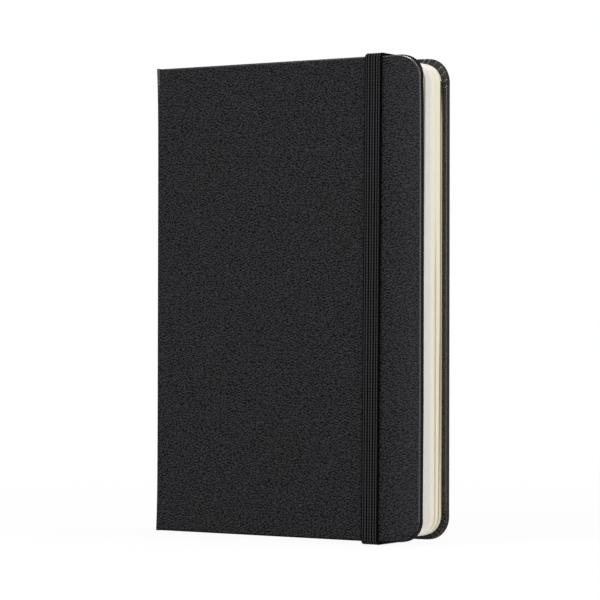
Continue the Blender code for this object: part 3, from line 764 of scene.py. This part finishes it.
def turned_edge():
    """Inner half of a cover's edge and its turn-in, before it is pleated, with cuts where it will bend."""
    bm = bmesh.new()
    panel = rounded_panel(bm, SPINE_FACE + JOINT_LIP, FORE_EDGE - SEAM_SETBACK, TAIL + SEAM_SETBACK,
                          HEAD - SEAM_SETBACK, CORNER_RADIUS - SEAM_SETBACK, TURN_STEPS)
    for ring in TURN_RINGS:
        bmesh.ops.inset_individual(bm, faces=[panel], thickness=ring)
    rim = [e for e in bm.edges if e.is_boundary]
    bmesh.ops.delete(bm, geom=[panel], context="FACES")
    shoulder = bmesh.ops.extrude_edge_only(bm, edges=rim)["geom"]
    bmesh.ops.translate(bm, verts=verts_of(shoulder), vec=(0.0, WALL_END + PLEAT_RISE, 0.0))
    ledge = [e for e in shoulder if isinstance(e, bmesh.types.BMEdge) and e.is_boundary]
    foot = bmesh.ops.extrude_edge_only(bm, edges=ledge)["geom"]
    bmesh.ops.translate(bm, verts=verts_of(foot), vec=(0.0, -PLEAT_RISE, 0.0))
    bmesh.ops.bevel(bm, geom=rim, offset=min(EDGE_RADIUS, TURN_RINGS[0] * RING_FIT), segments=EDGE_STEPS,
                    profile=0.5, affect="EDGES", material=-1)
    for cut in range(1, RUN_CUTS + 1):
        reach = CORNER_RADIUS + RUN_STEP * cut
        cut_across(bm, Z_AXIS, HEAD - reach, TAIL + reach)
        cut_across(bm, X_AXIS, FORE_EDGE - reach)
    for distance in FLARE_CUTS:
        if distance > CORNER_RADIUS + RUN_STEP * RUN_CUTS:
            cut_across(bm, Z_AXIS, HEAD - distance, TAIL + distance)
    cut_across(bm, X_AXIS, *[FORE_EDGE - distance for distance in DRAW_CUTS])
    return bm


def sort_turn_in(bm, rows, creased_wall):
    """Finish of each face of a turn-in: pressed and painted lighter inside, dull between pleats (on the front
    cover in painted shade), and painted lighter on their crests, with some crests at the head given a pale
    painted highlight.
    """
    sort_finishes(bm)
    dull_rim(bm, *INNER_RUB)
    for face in bm.faces:
        middle = face.calc_center_median()
        fold, depth, pale = pleat_fold(middle, rows)
        inside = middle.y > -EDGE_RADIUS / 2
        at_head = middle.z > MID_HEIGHT
        if inside and face.material_index == GRAINED:
            face.material_index = PRESSED_LIT
        if depth > 0 and not (inside and at_head):
            face.material_index = WALL
        if depth > 0 and fold < CREST_SHARE and (inside or creased_wall and middle.y > CREST_END):
            face.material_index = PALE_GLINT if pale and at_head else PRESSED_LIT


def sink_pleats(bm, rows, creased_wall):
    """Press a turn-in down between the crests of its pleats."""
    bm.normal_update()
    sunk = []
    for vert in bm.verts:
        fold, depth, _ = pleat_fold(vert.co, rows)
        rise = share_of(vert.co.y, WALL_END, WALL_END + PLEAT_RISE)
        if not creased_wall and vert.normal.y < FLAT_LEAN:
            rise = 0.0
        sunk.append(vert.co - vert.normal * (depth * fold * rise))
    for vert, place in zip(bm.verts, sunk):
        vert.co = place


def turn_in(face, inward, seed, creased_wall):
    """Inner half of a cover's edge and the turn-in, gathered in slanting pleats at the corners."""
    chance = random.Random(seed)
    rows = [pleat_row(chance, crest) for crest in (HEAD_CREST, TAIL_CREST)]
    bm = turned_edge()
    sort_turn_in(bm, rows, creased_wall)
    bmesh.ops.recalc_face_normals(bm, faces=bm.faces)
    lip = max(bm.faces, key=lambda f: f.calc_area() if abs(f.normal.y) > FLAT_LEAN else 0.0)
    if lip.normal.y < 0:
        bmesh.ops.reverse_faces(bm, faces=bm.faces)
    sink_pleats(bm, rows, creased_wall)
    bmesh.ops.solidify(bm, geom=bm.faces[:], thickness=LEATHERETTE)
    if inward > 0:
        for vert in bm.verts:
            draw, rise = drawn_in(vert.co.x, vert.co.z)
            vert.co += Vector((-draw, 0.0, rise))
    bmesh.ops.scale(bm, verts=bm.verts, vec=(1.0, inward, 1.0))
    bmesh.ops.translate(bm, verts=bm.verts, vec=(0.0, face + inward * COVER_DEPTH, 0.0))
    if inward < 0:
        bmesh.ops.reverse_faces(bm, faces=bm.faces)
    return bm


def spine_turn_ins():
    """The sheet's ends turned over the spine strip at head and tail."""
    bm = bmesh.new()
    outer = SPINE_FACE + EDGE_WALL - SEAM_SETBACK
    inner = spine_high.x
    under = HEAD - LEATHERETTE
    profile = [(outer, HEAD), (inner, HEAD), (inner, HEAD - TURN_IN), (inner - LEATHERETTE, HEAD - TURN_IN),
               (inner - LEATHERETTE, under), (outer, under)]
    bm.faces.new([bm.verts.new((x, spine_low.y, z)) for x, z in profile])
    bend = [v for v in bm.verts if v.co.x == inner and v.co.z > under]
    bmesh.ops.bevel(bm, geom=bend, offset=EDGE_RADIUS / 2, segments=EDGE_STEPS,
                    profile=0.5, affect="VERTICES", material=-1)
    run_straight(bm, bm.faces[:][0], (0.0, spine_high.y - spine_low.y, 0.0))
    copy = bmesh.ops.duplicate(bm, geom=bm.verts[:] + bm.edges[:] + bm.faces[:])["geom"]
    flip = Matrix.Translation((0.0, 0.0, HEAD + TAIL)) @ Matrix.Scale(-1.0, 4, Z_AXIS)
    bmesh.ops.transform(bm, matrix=flip, verts=verts_of(copy))
    for vert in bm.verts:
        x, y, z = vert.co
        vert.co = (x - spine_flare(x, z), y, z + spine_cap(x, z))
    bmesh.ops.recalc_face_normals(bm, faces=bm.faces)
    return bm


def thick_panel(x_spine, x_edge, z_tail, z_head, y_front, thickness):
    """A sheet of paper or card, square at the spine and round at the fore-edge."""
    bm = bmesh.new()
    face = rounded_panel(bm, x_spine, x_edge, z_tail, z_head, LEAF_RADIUS, LEAF_STEPS)
    run_straight(bm, face, (0.0, thickness, 0.0))
    bmesh.ops.translate(bm, verts=bm.verts, vec=(0.0, y_front, 0.0))
    return bm


def gap_depth(number, leaf, z, tail):
    """How far a leaf's edge lies back at a height, where the block stands open below its middle."""
    before = number == MIDDLE_GAP_AFTER and leaf >= LEAVES - GAP_LEAVES
    after = number == MIDDLE_GAP_AFTER + 1 and leaf < GAP_LEAVES
    if before or after:
        return GAP_TRACE + (GAP_DEPTH - GAP_TRACE) * share_of(z, GAP_TOP + GAP_FADE, GAP_TOP)
    if number == SIGNATURES and leaf >= LEAVES - GAP_LEAVES:
        return GAP_DEPTH * share_of(z, GAP_TOP, tail)
    return 0.0


def signature_leaves(number, chance):
    """One sewn section: eight thin leaves that curve into its fold, each trimmed a little unevenly."""
    low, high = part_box(f"signature_{number:02d}")
    half = (high.y - low.y) / 2
    pitch = 2 * half / LEAVES
    bm = bmesh.new()
    for leaf in range(LEAVES):
        middle = pitch * (leaf + 0.5) - half
        root = low.x + half - math.sqrt(half * half - middle * middle)
        edge = high.x - chance.uniform(0.0, LEAF_UNEVEN)
        tail = low.z + chance.uniform(0.0, LEAF_UNEVEN)
        head = high.z - chance.uniform(0.0, LEAF_UNEVEN)
        plate = thick_panel(root, edge, tail, head, low.y + pitch * leaf, pitch * LEAF_SHARE)
        if gap_depth(number, leaf, tail, tail) > 0:
            cut_across(plate, Z_AXIS, GAP_TOP, GAP_TOP + GAP_FADE)
            for vert in plate.verts:
                past_x = max(0.0, vert.co.x - edge + LEAF_RADIUS)
                past_z = min(0.0, vert.co.z - tail - LEAF_RADIUS)
                outward = Vector((past_x, 0.0, past_z)).normalized()
                vert.co -= outward * gap_depth(number, leaf, vert.co.z, tail)
        bmesh.ops.recalc_face_normals(plate, faces=plate.faces)
        leaf_mesh = bpy.data.meshes.new("leaf")
        plate.to_mesh(leaf_mesh)
        plate.free()
        bm.from_mesh(leaf_mesh)
        bpy.data.meshes.remove(leaf_mesh)
    return bm


def cut_sheet(node):
    """A loose sheet with round corners at the fore-edge, in the place of a node."""
    low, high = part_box(node)
    bm = thick_panel(low.x, high.x, low.z, high.z, low.y, high.y - low.y)
    bmesh.ops.recalc_face_normals(bm, faces=bm.faces)
    return bm


def elastic_section(bm, width, height):
    """Ribbed section of the elastic in the XY plane, flat side down: round ribs in pairs."""
    foot = [bm.verts.new((x, 0.0, 0.0)) for x in (-width / 2, width / 2)]
    crown = [bm.verts.new((x, height, 0.0)) for x in (width / 2, -width / 2)]
    bm.faces.new(foot + crown)
    top = next(e for e in bm.edges if all(v.co.y > height / 2 for v in e.verts))
    bmesh.ops.subdivide_edges(bm, edges=[top], cuts=2 * BAND_RIBS - 1)
    # Odd steps along the top are ribs, even ones grooves, and every fourth parts two pairs
    ribs = []
    grooves = []
    for vert in [v for v in bm.verts if v.co.y > height / 2]:
        step = round((vert.co.x + width / 2) / width * 2 * BAND_RIBS)
        if step in (0, 2 * BAND_RIBS):
            vert.co.y = BAND_SIDE
        elif step % 2 == 0:
            vert.co.y -= RIB_GROOVE if step % 4 == 2 else PAIR_GROOVE
            grooves.append(vert)
        else:
            ribs.append(vert)
    for bends, offset, steps in ((ribs, RIB_ROUND, RIB_STEPS), (grooves, GROOVE_ROUND, GROOVE_STEPS)):
        bmesh.ops.bevel(bm, geom=bends, offset=offset, segments=steps,
                        profile=0.5, affect="VERTICES", material=-1)
    return bm.faces[:][0]


def run_bend(bm, face, centre_y, centre_z):
    """Carry a section on round a quarter turn about an X axis."""
    geom = [face] + face.edges[:] + face.verts[:]
    made = bmesh.ops.spin(bm, geom=geom, cent=(0.0, centre_y, centre_z), axis=X_AXIS,
                          dvec=(0.0, 0.0, 0.0), angle=math.pi / 2, steps=BEND_STEPS)["geom_last"]
    return face_of(made)


def elastic_band():
    """The elastic from its slit at the head, over the front, to its slit at the tail."""
    bm = bmesh.new()
    thickness = FRONT_FACE - band_low.y - BAND_GAP
    width = slit_head_high.x - slit_head_low.x
    gap = TAIL - band_low.z - thickness
    lean = (slit_head_low.x - slit_tail_low.x) / (slit_head_low.z - slit_tail_low.z)
    slit_head = slit_head_high.z
    slit_tail = slit_tail_low.z
    dip_y = BACK_FACE + gap - SLIT_BEND
    face = elastic_section(bm, width, thickness)
    bmesh.ops.rotate(bm, verts=bm.verts, cent=(0.0, 0.0, 0.0), matrix=Matrix.Rotation(-math.pi / 2, 3, "X"))
    bmesh.ops.translate(bm, verts=bm.verts, vec=(0.0, dip_y - SLIT_DEPTH, slit_head))
    bend_head = HEAD + gap - BAND_BEND
    bend_tail = TAIL - gap + BAND_BEND
    bend_front = FRONT_FACE - gap + BAND_BEND
    bend_back = BACK_FACE + gap - BAND_BEND
    # Each straight run, and the centre of the bend after it
    for run, bend in (
            ((0.0, SLIT_DEPTH, 0.0), (dip_y, slit_head + SLIT_BEND)),
            ((0.0, 0.0, bend_head - slit_head - SLIT_BEND), (bend_back, bend_head)),
            ((0.0, bend_front - bend_back, 0.0), (bend_front, bend_head)),
            ((0.0, 0.0, bend_tail - bend_head), (bend_front, bend_tail)),
            ((0.0, bend_back - bend_front, 0.0), (bend_back, bend_tail)),
            ((0.0, 0.0, slit_tail - SLIT_BEND - bend_tail), (dip_y, slit_tail - SLIT_BEND))):
        face = run_bend(bm, run_straight(bm, face, run), *bend)
    run_straight(bm, face, (0.0, -SLIT_DEPTH, 0.0))
    # Faces away from a rib's lit crest, and faces at the sides, take the near black painted shade
    for side in bm.faces:
        off_middle = side.calc_center_median().x
        ribs_along = (off_middle / width + 0.5) * BAND_RIBS
        from_crest = abs(ribs_along - math.floor(ribs_along) - 0.5) * width / BAND_RIBS
        from_side = width / 2 - abs(off_middle)
        margin = BAND_MARGINS[1] if off_middle > 0 else BAND_MARGINS[0]
        side.material_index = int(from_crest > RIB_LIT or from_side < margin)
    centre = (slit_head_low.x + slit_tail_high.x) / 2
    for vert in bm.verts:
        vert.co.x += centre + lean * (vert.co.z - MID_HEIGHT)
    bmesh.ops.recalc_face_normals(bm, faces=bm.faces)
    return bm


def slit_box(low, high, z_low):
    """Lowest and highest corner of a slit in the back sheet, for one end of the elastic."""
    clear = Vector((SLIT_CLEARANCE, 0.0, SLIT_CLEARANCE))
    return Vector((low.x, 0.0, z_low)) - clear, Vector((high.x, 0.0, z_low + SLIT_HEIGHT)) + clear


def paint(material, *names):
    """Give CAD nodes a material."""
    for name in names:
        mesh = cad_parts[name].data
        mesh.materials.clear()
        mesh.materials.append(material)


# Case
front_skin = make_piece("front_cover_skin", cover_skin(FRONT_FACE, 1, ()), FRONT_FINISHES,
                        ("front_cover_wrap", "spine_wrap"))
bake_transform(front_skin)
slit_boxes = (slit_box(slit_head_low, slit_head_high, slit_head_high.z - SLIT_HEIGHT),
              slit_box(slit_tail_low, slit_tail_high, slit_tail_low.z))
back_skin = make_piece("back_cover_skin", cover_skin(BACK_FACE, -1, slit_boxes), BACK_FINISHES,
                       ("back_cover_wrap",))
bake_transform(back_skin)
front_edge = turn_in(FRONT_FACE, 1, FRONT_PLEAT_SEED, creased_wall=False)
front_turn_in = make_piece("front_turn_in", front_edge, FRONT_FINISHES)
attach(front_turn_in, "front_cover")
back_edge = turn_in(BACK_FACE, -1, BACK_PLEAT_SEED, creased_wall=True)
back_turn_in = make_piece("back_turn_in", back_edge, BACK_FINISHES)
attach(back_turn_in, "back_cover")
# Spine ends in the dull finish, painted near black as shade
spine_ends = make_piece("spine_turn_ins", spine_turn_ins(), (DULL_SHADED_BLACK,))
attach(spine_ends, "spine")

# Leaves
trim = random.Random(TRIM_SEED)
for number in range(1, SIGNATURES + 1):
    node_name = f"signature_{number:02d}"
    leaves = make_piece(f"leaves_{number:02d}", signature_leaves(number, trim), (PAPER,),
                        (node_name,))
    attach(leaves, node_name)

# Endpapers and pocket
for name, node_name, finish, slot, body in (
        ("front_endpaper", "front_flyleaf", PAPER, "ivory_paper", "front_flyleaf"),
        ("back_endpaper", "back_flyleaf", PAPER, "ivory_paper", "back_flyleaf"),
        ("pocket_front_card", "pocket_front_panel", POCKET_CARD, "pocket_card", "pocket_front_panel"),
        ("pocket_back_card", "pocket_back_panel", POCKET_LINER, "pocket_card", "back_cover")):
    loose_sheet = make_piece(name, cut_sheet(node_name), (finish,), (node_name,))
    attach(loose_sheet, body)

# Elastic
band = make_piece("ribbed_elastic", elastic_band(), (BLACK_ELASTIC, ELASTIC_SHADE),
                  ("elastic_band",))
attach(band, "elastic_band")
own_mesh(band)

# CAD nodes that stay
paint(PAPER, "front_pastedown", "back_pastedown")
paint(GREY_BOARD, "front_board", "back_board", "spine_strip")
paint(GUSSET_CLOTH, "pocket_gusset_head", "pocket_gusset_tail", "pocket_fold")
paint(LINING_CLOTH, "spine_lining")
paint(SEWING_THREAD, "sewing_thread")
paint(BLACK_ELASTIC, "elastic_end_head", "elastic_end_tail")

# White studio: the floor keeps a faint shadow
FLOOR_SIZE = 6.0
FLOOR_GLOW = 0.93
FLOOR_BOUNCE = 0.5
SHADOW_NEAR = 0.12
SHADOW_FAR = 0.4
AMBIENT = 0.4


def seen_directly(tree):
    """One where a ray comes from the camera, a gloss or a clear piece, and zero elsewhere."""
    path = add_node(tree, "ShaderNodeLightPath")
    shiny = add_node(tree, "ShaderNodeMath", {"operation": "MAXIMUM"},
                     {0: path.outputs["Is Glossy Ray"], 1: path.outputs["Is Transmission Ray"]})
    return add_node(tree, "ShaderNodeMath", {"operation": "MAXIMUM"},
                    {0: path.outputs["Is Camera Ray"], 1: shiny})


def white_sweep():
    """Matt white paper sweep that reads as plain white and takes a faint shadow."""
    material = bpy.data.materials.new("white_sweep")
    material.use_nodes = True
    tree = material.node_tree
    tree.nodes.remove(tree.nodes["Principled BSDF"])
    matt = add_node(tree, "ShaderNodeBsdfDiffuse", None, {"Color": linear("#f6f6f6")})
    glow = add_node(tree, "ShaderNodeEmission", None, {"Color": linear("#ffffff"), "Strength": 1.0})
    place = add_node(tree, "ShaderNodeTexCoord")
    reach = add_node(tree, "ShaderNodeVectorMath", {"operation": "LENGTH"}, {0: place.outputs["Object"]})
    clean = add_node(tree, "ShaderNodeMapRange", {"interpolation_type": "SMOOTHSTEP"},
                     {"Value": reach.outputs["Value"], "From Min": SHADOW_NEAR, "From Max": SHADOW_FAR,
                      "To Min": FLOOR_GLOW, "To Max": 1.0})
    share = add_node(tree, "ShaderNodeMix", None, {0: seen_directly(tree), 2: FLOOR_BOUNCE, 3: clean})
    mixed = add_node(tree, "ShaderNodeMixShader", None, {0: share, 1: matt, 2: glow})
    tree.links.new(mixed.outputs[0], tree.nodes["Material Output"].inputs["Surface"])
    return material


floor_bm = bmesh.new()
bmesh.ops.create_grid(floor_bm, x_segments=1, y_segments=1, size=FLOOR_SIZE / 2)
floor_mesh = bpy.data.meshes.new("floor")
floor_bm.to_mesh(floor_mesh)
floor_bm.free()
floor_mesh.materials.append(white_sweep())
floor = bpy.data.objects.new("floor", floor_mesh)
bpy.context.scene.collection.objects.link(floor)

world = bpy.data.worlds.new("studio")
bpy.context.scene.world = world
world.use_nodes = True
sky = world.node_tree
level = add_node(sky, "ShaderNodeMapRange", None,
                 {"Value": seen_directly(sky), "To Min": AMBIENT, "To Max": 1.0})
sky.links.new(level.outputs["Result"], sky.nodes["Background"].inputs["Strength"])
sky.nodes["Background"].inputs["Color"].default_value = linear("#ffffff")


def softbox(name, place, width, height, power):
    """An area lamp that faces the middle of the book."""
    lamp = bpy.data.lights.new(name, "AREA")
    lamp.energy = power
    lamp.shape = "RECTANGLE"
    lamp.size = width
    lamp.size_y = height
    holder = bpy.data.objects.new(name, lamp)
    holder.location = place
    middle = Vector((0.0, 0.0, MID_HEIGHT))
    holder.rotation_euler = (middle - Vector(place)).to_track_quat("-Z", "Y").to_euler()
    bpy.context.scene.collection.objects.link(holder)


softbox("key", place=(-0.3, -0.75, 0.75), width=0.3, height=0.16, power=4.6)
softbox("camera_side", place=(0.64, -0.77, 0.15), width=0.3, height=0.6, power=1.6)
softbox("fore_edge", place=(0.85, -0.25, 0.35), width=0.4, height=0.4, power=2.1)
softbox("top", place=(0.3, 0.1, 0.95), width=0.3, height=0.3, power=3.4)

# Camera fitted to the photographed edges of the covers
VIEW_YAW = math.radians(32.820)
VIEW_PITCH = math.radians(-0.517)
VIEW_ROLL = math.radians(0.115)
VIEW_DISTANCE = 789.51 * MM
VIEW_LENS = 159.498
VIEW_SENSOR = 36.0
VIEW_SIDE = -0.312 * MM
VIEW_HEIGHT = 70.779 * MM

away = Vector((math.sin(VIEW_YAW) * math.cos(VIEW_PITCH), -math.cos(VIEW_YAW) * math.cos(VIEW_PITCH),
               math.sin(VIEW_PITCH)))
target = Vector((VIEW_SIDE * math.cos(VIEW_YAW), VIEW_SIDE * math.sin(VIEW_YAW), VIEW_HEIGHT))
level_right = (-away).cross(Z_AXIS).normalized()
level_up = level_right.cross(-away)
right = level_right * math.cos(VIEW_ROLL) + level_up * math.sin(VIEW_ROLL)
up = level_up * math.cos(VIEW_ROLL) - level_right * math.sin(VIEW_ROLL)
lens = bpy.data.cameras.new("camera")
lens.lens = VIEW_LENS
lens.sensor_width = VIEW_SENSOR
camera = bpy.data.objects.new("camera", lens)
turn = Matrix((right, up, away)).transposed().to_4x4()
camera.matrix_world = Matrix.Translation(target + away * VIEW_DISTANCE) @ turn
bpy.context.scene.collection.objects.link(camera)
bpy.context.scene.camera = camera
bpy.context.scene.view_settings.view_transform = "Standard"
